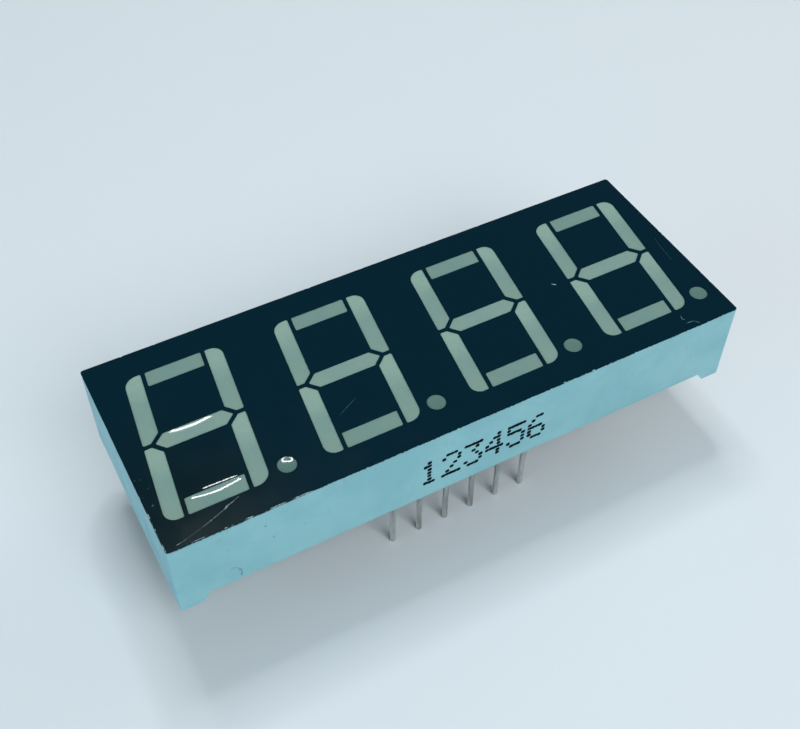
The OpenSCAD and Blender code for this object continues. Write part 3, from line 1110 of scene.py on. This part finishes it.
@dataclass(frozen=True)
class Dish:
    """How the top of a plug has sunk: its depth, its half sizes, where it lies and how its sides curve."""

    depth: float
    half_length: float = 3.0
    half_width: float = 0.8
    shift: float = 0.0
    fullness: float = 2.6
    squareness: float = 2.9

    def sink(self, local: np.ndarray) -> np.ndarray:
        """Works out how far the surface lies below the top.

        The radius of a place is the superellipse sum of its distances over the dish's half sizes, held at
        1 outside. The surface sinks by the depth times one less that radius to the power of the fullness.

        Args:
            local: Distances along and across the plug, one row for each place.

        Returns:
            The depth at each place, in millimetres.
        """
        shares = np.abs(local - [self.shift, 0.0]) / [self.half_length, self.half_width]
        radius = np.minimum((shares**self.squareness).sum(axis=1) ** (1.0 / self.squareness), 1.0)
        return self.depth * (1.0 - radius**self.fullness)


@dataclass
class LightPlug:
    """One casting of milky resin, whose top is dished where the resin sank as it set.

    A plug that has sunk deep shows it, so its rim has closer points and its top more rows.
    """

    node: str
    dish: Dish
    resin: Finish
    land: float = 0.3
    deep: float = 0.02
    fine: tuple[float, int] = (0.03, 48)
    coarse: tuple[float, int] = (0.08, 9)
    first_row: float = 0.1
    side_rows: int = 4
    forward: Pair = (1.0, 0.35)

    def __post_init__(self) -> None:
        """Reads the plug's outlines from the frame, and its own long and short directions."""
        low, high = cad_box(self.node)
        self.floor_z, self.top_z = low[2], high[2]
        self.window = level_outline(self.node, self.top_z)
        self.middle = (self.window.min(axis=0) + self.window.max(axis=0)) / 2.0
        floor = level_outline(self.node, self.floor_z)
        chords = np.roll(floor, -1, axis=0) - floor
        longest = chords[np.argmax(np.linalg.norm(chords, axis=1))]
        longest = longest * np.sign(longest @ self.forward)
        self.length_way = longest / np.linalg.norm(longest)
        self.width_way = np.array([-self.length_way[1], self.length_way[0]])
        self.floor_half = np.abs(self.local(floor)).max(axis=0)

    def local(self, plan: np.ndarray) -> np.ndarray:
        """Turns plan points into distances along and across the plug, from its middle."""
        return (plan - self.middle) @ np.column_stack([self.length_way, self.width_way])

    def build(self) -> bpy.types.Object:
        """Builds the plug row by row, from the middle of its top over the rim and down to its floor.

        A row of the top is the rim drawn in towards the plug's spine, and lies as low as the dish sinks
        there. A row of the side is the rim held inside a rectangle that narrows evenly to the floor's.

        Returns:
            The plug, which replaces the frame's.
        """
        step, top_count = self.fine if self.dish.depth > self.deep else self.coarse
        rim = self.local(densified(self.window, step))
        count = len(rim)
        half = np.abs(rim).max(axis=0)
        reach = max(half[0] - half[1], 0.0)
        spine = np.column_stack([np.clip(rim[:, 0], -reach, reach), np.zeros(count)])
        top_rows = spine + (rim - spine) * np.linspace(self.first_row, 1.0, top_count)[:, None, None]
        top_heights = self.top_z - self.dish.sink(top_rows.reshape(-1, 2))
        land_z = self.top_z - self.land
        drops = np.linspace(0.0, 1.0, self.side_rows)
        limits = half + (self.floor_half - half) * drops[:, None]
        side_rows = np.clip(rim, -limits[:, None, :], limits[:, None, :])
        side_heights = np.repeat(land_z + (self.floor_z - land_z) * drops, count)
        flat = np.concatenate([top_rows, side_rows]).reshape(-1, 2)
        plan = self.middle + flat @ np.vstack([self.length_way, self.width_way])
        points = np.column_stack([plan, np.concatenate([top_heights, side_heights])])
        ends = [list(range(count)), list(range(len(flat) - count, len(flat)))]
        faces = [*band_quads(top_count + self.side_rows, count).tolist(), *ends]
        uv = 0.5 + 0.5 * flat / half
        piece = make_piece(f"resin_{self.node}", points, faces, self.resin, uv)
        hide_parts(self.node)
        return piece


@dataclass
class LightPlugs:
    """All the plugs: three of the first digit have sunk deeper than the rest. Each kind of segment gets its
    own lit or shaded copy of the resin.
    """

    sunk: dict[str, Dish] = field(
        default_factory=lambda: {
            "digit_1_segment_d": Dish(0.057, 2.07, 0.82, 0.11, 2.25, 3.2),
            "digit_1_segment_g": Dish(0.053, 2.26, 0.7725, -0.16, 1.8, 2.84),
            "digit_1_dot": Dish(0.0545, 0.75, 0.75, 0.0, 2.6, 2.0),
        }
    )
    usual_depth: Pair = (0.002, 0.007)
    # Painted light and shade: the level segments and the dots get darker copies of the resin, and the middle
    # one a copy without the lit end.
    resins: dict[str, Finish] = field(
        default_factory=lambda: {
            "segment_a": Finish.LEVEL_RESIN,
            "segment_d": Finish.LEVEL_RESIN,
            "segment_g": Finish.MIDDLE_RESIN,
            "dot": Finish.DOT_RESIN,
        }
    )

    def __post_init__(self) -> None:
        """Lists the plugs, each with its dish and its tone of resin."""
        rng = np.random.default_rng(21)
        self.plugs: list[LightPlug] = []
        for digit in range(1, DIGITS + 1):
            for part in DIGIT_PARTS:
                node = f"digit_{digit}_{part}"
                usual = Dish(float(rng.uniform(*self.usual_depth)))
                resin = self.resins.get(part, Finish.UPRIGHT_RESIN)
                self.plugs.append(LightPlug(node, self.sunk.get(node, usual), resin))

    def windows(self) -> list[np.ndarray]:
        """Gives the outline of each plug's window in the print."""
        return [plug.window for plug in self.plugs]

    def build(self) -> list[bpy.types.Object]:
        """Builds every plug."""
        return [plug.build() for plug in self.plugs]


# ---------- the housing ----------


@dataclass
class Housing:
    """The white moulding, with pin numbers printed in dots and smears on its front wall."""

    first_digit: Pair = (-4.78, 2.62)
    digit_pitch: float = 1.98
    dot_pitch: Pair = (0.34, 0.42)
    dot_size: Pair = (0.2, 0.185)
    dot_spread: Pair = (0.88, 1.1)
    dot_stray: float = 0.014
    dot_sides: int = 12
    dot_squareness: float = 0.62
    ink_height: float = 0.003
    smear_height: float = 0.0015
    rows_of_digits: tuple[tuple[int, ...], ...] = (
        (4, 12, 4, 4, 4, 4, 14),
        (14, 17, 1, 2, 4, 8, 31),
        (31, 2, 4, 2, 1, 17, 14),
        (2, 6, 10, 18, 31, 2, 2),
        (31, 16, 30, 1, 1, 17, 14),
        (6, 8, 16, 30, 17, 17, 14),
    )
    smears: tuple[Stroke, ...] = (
        Stroke(((-21.0, 2.6), (-20.7, 2.66), (-20.41, 2.44)), 0.11, 0.7, 31),
        Stroke(((-20.5, 2.55), (-20.24, 2.1), (-20.16, 1.64), (-20.24, 1.4), (-20.12, 1.1)), 0.15, 0.7, 32),
        Stroke(((-17.9, 6.3), (-17.75, 6.0)), 0.08, 0.5, 33),
        Stroke(((-17.4, 4.6), (-17.25, 4.3)), 0.1, 0.5, 34),
        Stroke(((-20.68, 7.9), (-20.76, 7.25)), 0.035, 0.4, 35),
        Stroke(((-20.5, 7.85), (-20.44, 7.45)), 0.03, 0.4, 38),
    )

    def __post_init__(self) -> None:
        """Finds the front wall from the frame."""
        low, _ = cad_box("reflector_housing")
        self.front = Wall((0.0, low[1], 0.0), (1.0, 0.0, 0.0), (0.0, 0.0, 1.0), (0.0, -1.0, 0.0))

    def number_dots(self) -> np.ndarray:
        """Lists the middles of the numbers' dots. Each row of a number is five bits, the left one first.

        Returns:
            Distances along and up the wall, one row for each dot.
        """
        bits = (np.array(self.rows_of_digits)[:, :, None] >> np.arange(4, -1, -1)) & 1
        number, row, column = np.nonzero(bits)
        last_row = bits.shape[1] - 1
        x = self.first_digit[0] + number * self.digit_pitch + column * self.dot_pitch[0]
        z = self.first_digit[1] + (last_row - row) * self.dot_pitch[1]
        return np.column_stack([x, z])

    def pin_numbers(self) -> bpy.types.Object:
        """Builds the numbers: an uneven oval of ink at each dot, as a low prism on the wall.

        Returns:
            The numbers as one piece.
        """
        rng = np.random.default_rng(41)
        dots = self.number_dots()
        dots += rng.normal(0.0, self.dot_stray, dots.shape)
        turn = np.linspace(0.0, TURN, self.dot_sides, endpoint=False)
        circle = np.column_stack([np.cos(turn), np.sin(turn)])
        circle = np.sign(circle) * np.abs(circle) ** self.dot_squareness
        sizes = np.array(self.dot_size) * rng.uniform(*self.dot_spread, dots.shape)
        plan = (dots[:, None, :] + circle[None, :, :] * sizes[:, None, :]).reshape(-1, 2)
        points = np.vstack([self.front.points(plan, 0.0), self.front.points(plan, self.ink_height)])
        ring = np.arange(len(plan)).reshape(-1, self.dot_sides)
        ahead = np.roll(ring, -1, axis=1)
        above = len(plan)
        sides = np.stack([ring, ahead, ahead + above, ring + above], axis=-1).reshape(-1, 4)
        faces = [*sides.tolist(), *ring[:, ::-1].tolist(), *(ring + above).tolist()]
        return make_piece("pin_numbers", points, faces, Finish.PRINT)

    def wall_smears(self) -> bpy.types.Object:
        """Builds the faint smears on the front wall."""
        points, faces = joined([one.mesh(self.front, self.smear_height) for one in self.smears])
        return make_piece("wall_smears", points, faces.tolist(), Finish.SMUDGE)

    def build(self) -> list[bpy.types.Object]:
        """Dresses the moulding and builds what is printed and smeared on it."""
        return [dressed_node("reflector_housing", Finish.HOUSING), self.pin_numbers(), self.wall_smears()]


# ---------- the back ----------


@dataclass
class RearResin:
    """The potting resin behind the board: it creeps up walls and pins, and its surface is a little wavy.

    It is a grid whose lines stand close together near the walls and the pins, and wide apart elsewhere.
    """

    corner_radius: float = 0.5
    creep: float = 0.24
    creep_reach: float = 0.28
    pin_creep: float = 0.3
    pin_reach: float = 0.22
    pin_radius: float = 0.23
    waviness: float = 0.015
    wave_numbers: Pair = (0.55, 0.8)
    wave_starts: Pair = (0.6, 1.1)
    depth: float = 0.9
    close_step: float = 0.09
    wide_step: float = 0.35
    least_step: float = 0.015
    wall_lines: tuple[float, float, int] = (0.02, 1.2, 14)
    wide_margins: Pair = (0.2, 0.1)
    middle_reach: Pair = (7.4, 0.3)
    row_reach: float = 1.1

    def __post_init__(self) -> None:
        """Reads the resin's surface and sides, and the pins' places, from the frame."""
        low, high = cad_box("back_seal")
        self.surface = low[2]
        self.half = (high[:2] - low[:2]) / 2.0
        self.pins = np.array([cad_box(f"pin_{number}")[:, :2].mean(axis=0) for number in range(1, PINS + 1)])

    def axis(self, half: float, dense: float) -> np.ndarray:
        """Spaces lines along one axis: close together near the walls and inside dense, and wide between.

        Args:
            half: Half of the slab's size on the axis.
            dense: How far from the middle the close lines reach.

        Returns:
            Places of the lines, in rising order.
        """
        near_wall = half - np.geomspace(*self.wall_lines)
        inside = np.arange(0.0, dense, self.close_step)
        first, last = inside[-1] + self.wide_margins[0], near_wall.min() - self.wide_margins[1]
        between = np.arange(first, last, self.wide_step)
        positive = np.unique(np.concatenate([[half], near_wall, inside, between]))
        return np.unique(np.concatenate([-positive, positive]))

    def axes(self) -> tuple[np.ndarray, np.ndarray]:
        """Spaces the grid's lines along X and Y. Both rows of pins get close lines of their own.

        Returns:
            Places of the lines along X, and of those along Y.
        """
        x, y = (self.axis(half, dense) for half, dense in zip(self.half, self.middle_reach))
        near_pins = np.arange(-self.row_reach, self.row_reach, self.close_step)
        y = np.unique(np.concatenate([y, near_pins + self.pins[0, 1], near_pins - self.pins[0, 1]]))
        y = y[np.abs(y) <= self.half[1]]
        y = y[np.append(True, np.diff(y) > self.least_step)]
        y[0], y[-1] = -self.half[1], self.half[1]
        return x, y

    def rounded(self, plan: np.ndarray) -> np.ndarray:
        """Draws points that lie outside a round corner in to its arc.

        Args:
            plan: Points in the slab's rectangle.

        Returns:
            The points inside the slab's outline.
        """
        centre = np.clip(plan, self.corner_radius - self.half, self.half - self.corner_radius)
        spoke = plan - centre
        reach = np.linalg.norm(spoke, axis=1)
        in_corner = (np.abs(spoke) > 0.0).all(axis=1) & (reach > self.corner_radius)
        pull = np.where(in_corner, self.corner_radius / np.maximum(reach, 1e-9), 1.0)
        return centre + spoke * pull[:, None]

    def dip(self, plan: np.ndarray) -> np.ndarray:
        """Works out how far the surface dips towards the open side.

        The dip is the creep times a falling exponential of the distance to the nearest wall, plus the
        same for the nearest pin.

        Args:
            plan: Points inside the slab's outline.

        Returns:
            The dip at each point.
        """
        sides = self.half - np.abs(plan)
        inner = np.minimum(sides, self.corner_radius)
        wall_gap = np.where(
            (inner < self.corner_radius).all(axis=1),
            self.corner_radius - np.linalg.norm(self.corner_radius - inner, axis=1),
            sides.min(axis=1),
        )
        from_pins = np.linalg.norm(plan[:, None, :] - self.pins[None, :, :], axis=2)
        pin_gap = from_pins.min(axis=1) - self.pin_radius
        dip = self.creep * np.exp(-np.maximum(wall_gap, 0.0) / self.creep_reach)
        return dip + self.pin_creep * np.exp(-np.maximum(pin_gap, 0.0) / self.pin_reach)

    def build(self) -> list[bpy.types.Object]:
        """Builds the slab of resin. Its surface, below, has the dip and the low waves of two crossed sines.

        Returns:
            The slab, which replaces the frame's.
        """
        x, y = self.axes()
        plan = self.rounded(np.column_stack([grid.ravel() for grid in np.meshgrid(x, y)]))
        waves = np.sin(plan * self.wave_numbers + self.wave_starts).prod(axis=1)
        bottom = np.column_stack([plan, self.surface - self.dip(plan) + self.waviness * waves])
        top = np.column_stack([plan, np.full(len(plan), self.surface + self.depth)])
        grid = band_quads(y.size, x.size, closed_columns=False)
        above = len(plan)
        number = np.arange(above).reshape(y.size, x.size)
        border = np.concatenate([number[0, :-1], number[:-1, -1], number[-1, :0:-1], number[:0:-1, 0]])
        ahead = np.roll(border, -1)
        walls = np.column_stack([border, ahead, ahead + above, border + above])
        faces = np.vstack([grid[:, ::-1], grid + above, walls]).tolist()
        piece = make_piece("rear_resin", np.vstack([bottom, top]), faces, Finish.POTTING)
        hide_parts("back_seal")
        return [piece]


@dataclass
class Electronics:
    """What the resin holds, and the pins: CAD nodes that keep their meshes."""

    groups: dict[Finish, list[str]] = field(
        default_factory=lambda: {
            Finish.BOARD: ["circuit_board"],
            Finish.COPPER: ["board_copper"],
            Finish.SOLDER: ["solder_joints"],
            Finish.CHIP: [f"led_chips_digit_{digit}" for digit in range(1, DIGITS + 1)],
            Finish.WIRE: [f"bond_wires_digit_{digit}" for digit in range(1, DIGITS + 1)],
            Finish.TIN: [f"pin_{number}" for number in range(1, PINS + 1)],
        }
    )

    def build(self) -> list[bpy.types.Object]:
        """Dresses the board, its copper and solder, the chips and wires, and the pins."""
        return [dressed_node(node, finish) for finish, nodes in self.groups.items() for node in nodes]


# ---------- the studio ----------


@dataclass(frozen=True)
class SoftLight:
    """A large round soft light that faces the module: its name, place in millimetres, power and colour."""

    name: str
    place: Triple
    power: float
    colour: Triple = (1.0, 1.0, 1.0)
    size: float = 260.0

    def build(self) -> None:
        """Hangs the light."""
        data = bpy.data.lights.new(self.name, "AREA")
        data.shape = "DISK"
        data.size = self.size * MM
        data.energy = self.power
        data.color = self.colour
        light = placed(self.name, data)
        light.location = Vector(self.place) * MM
        light.rotation_mode = "QUATERNION"
        light.rotation_quaternion = (-light.location).to_track_quat("-Z", "Y")


@dataclass
class Studio:
    """A pale floor and backdrop, a ring lamp above and behind, and the camera.

    Soft lights stand in front, to the left, where the light is bluer, and to the right.
    """

    camera_place: Triple = (-31.88, -55.09, 77.28)
    camera_aim: Triple = (-2.55, -1.72, 8.0)
    camera_roll: float = 0.588
    focal_length: float = 52.15
    sensor_width: float = 36.0
    sky: Colour = (0.93, 0.965, 1.0, 1.0)
    sky_strength: float = 0.3
    backdrop_strength: float = 0.74
    overhead_strength: float = 0.08
    horizon: Pair = (0.15, 0.7)
    floor_colour: Colour = tone(198, 206, 211)
    floor_roughness: float = 0.85
    floor_gloss: float = 0.1
    floor_half: float = 2500.0
    fade: Pair = (160.0, 520.0)
    ring_way: Triple = (0.0684, 0.3518, 0.9336)
    ring_distance: float = 350.0
    ring_radius: float = 57.0
    ring_hole: float = 0.66
    ring_sides: int = 64
    ring_strength: float = 31.0
    lights: tuple[SoftLight, ...] = (
        SoftLight("soft_light", (20.0, -270.0, 270.0), 0.95),
        SoftLight("side_light", (-340.0, -40.0, 120.0), 0.38, (0.4, 0.82, 1.0)),
        SoftLight("fill_light", (340.0, 90.0, 140.0), 0.3),
    )

    def camera(self) -> None:
        """Makes the camera, aims it at the face and rolls it about its own axis."""
        data = bpy.data.cameras.new("camera")
        data.lens = self.focal_length
        data.sensor_width = self.sensor_width
        data.clip_start = MM
        place, aim = Vector(self.camera_place) * MM, Vector(self.camera_aim) * MM
        turn = (aim - place).to_track_quat("-Z", "Y").to_matrix().to_4x4()
        turn.translation = place
        camera = placed("camera", data)
        camera.matrix_world = turn @ Matrix.Rotation(math.radians(self.camera_roll), 4, "Z")
        bpy.context.scene.camera = camera

    def floor(self) -> None:
        """Lays a pale floor under the pins' tips, which fades into the backdrop's colour far away.

        The camera sees the fade, and so do reflections and clear resin. It starts past the module's shadow.
        """
        half, z = self.floor_half * MM, CAD_BOX[0].z
        mesh = bpy.data.meshes.new("floor")
        corners = [(-half, -half, z), (half, -half, z), (half, half, z), (-half, half, z)]
        mesh.from_pydata(corners, [], [(0, 1, 2, 3)])
        s = Shader("floor")
        s.set(Base_Color=self.floor_colour, Roughness=self.floor_roughness)
        s.set(Specular_IOR_Level=self.floor_gloss)
        near, far = (reach * MM for reach in self.fade)
        camera, clear = s.rays()
        share = s.math("MULTIPLY", s.between(s.distance(), near, far), s.math("MAXIMUM", camera, clear))
        glow = s.node("Emission", {"Color": self.sky, "Strength": self.backdrop_strength})
        fade = s.node("MixShader", {0: share, 1: s.shader.outputs["BSDF"], 2: glow.outputs[0]})
        s.fill(s.out, {"Surface": fade.outputs[0]})
        mesh.materials.append(s.material)
        floor = placed("floor", mesh)

    def sky_light(self) -> None:
        """Lights the scene evenly, and sets a pale backdrop.

        Matt surfaces get the same weak light from all round. Glossy and clear ones show the backdrop near
        the horizon and a dark ceiling above it. The camera sees the backdrop.
        """
        world = bpy.data.worlds.new("sky")
        sky = NodeTree(world)
        _, _, height = sky.parts(sky.node("TexCoord", {}).outputs["Generated"])
        rise = sky.between(height, *self.horizon, self.backdrop_strength, self.overhead_strength)
        camera, clear = sky.rays()
        shown = sky.node("Mix", {"Factor": clear, 2: self.sky_strength, 3: rise}).outputs[0]
        seen = sky.node("Mix", {"Factor": camera, 2: shown, 3: self.backdrop_strength}).outputs[0]
        background = sky.node("Background", {"Color": self.sky, "Strength": seen})
        sky.node("OutputWorld", {"Surface": background.outputs[0]})
        bpy.context.scene.world = world

    def ring_lamp(self) -> None:
        """Hangs a ring of light that faces the module: two circles round one middle, joined by quads."""
        way = Vector(self.ring_way).normalized()
        right = Vector((0.0, 1.0, 0.0)).cross(way).normalized()
        up = way.cross(right)
        turn = np.linspace(0.0, TURN, self.ring_sides, endpoint=False)
        circle = np.column_stack([np.cos(turn), np.sin(turn)]) * self.ring_radius
        flat = np.vstack([circle, circle * self.ring_hole])
        wheel = flat[:, :1] * np.array(right) + flat[:, 1:] * np.array(up)
        points = wheel + np.array(way) * self.ring_distance
        mesh = bpy.data.meshes.new("ring_lamp")
        mesh.from_pydata((points * MM).tolist(), [], band_quads(2, turn.size).tolist())
        material = bpy.data.materials.new("ring_glow")
        nodes = NodeTree(material)
        glow = nodes.node("Emission", {"Strength": self.ring_strength})
        nodes.node("OutputMaterial", {"Surface": glow.outputs[0]})
        mesh.materials.append(material)
        lamp = placed("ring_lamp", mesh)
        lamp.visible_camera = False

    def build(self) -> None:
        """Sets the stage."""
        bpy.context.scene.view_settings.view_transform = "Standard"
        self.camera()
        self.floor()
        self.sky_light()
        self.ring_lamp()
        for light in self.lights:
            light.build()


# ---------- the whole ----------


def main() -> None:
    """Builds the studio and every piece of the module in order, and reports each piece."""
    logging.basicConfig(level=logging.INFO, format="%(name)s: %(message)s")
    Studio().build()
    LOG.info("studio: camera, floor, sky and lights")
    plugs = LightPlugs()
    for part in (Housing(), plugs, FacePrint(plugs.windows()), RearResin(), Electronics()):
        for piece in part.build():
            LOG.info("%s: %d faces", piece.name, len(piece.data.polygons))


if __name__ == "__main__":
    main()
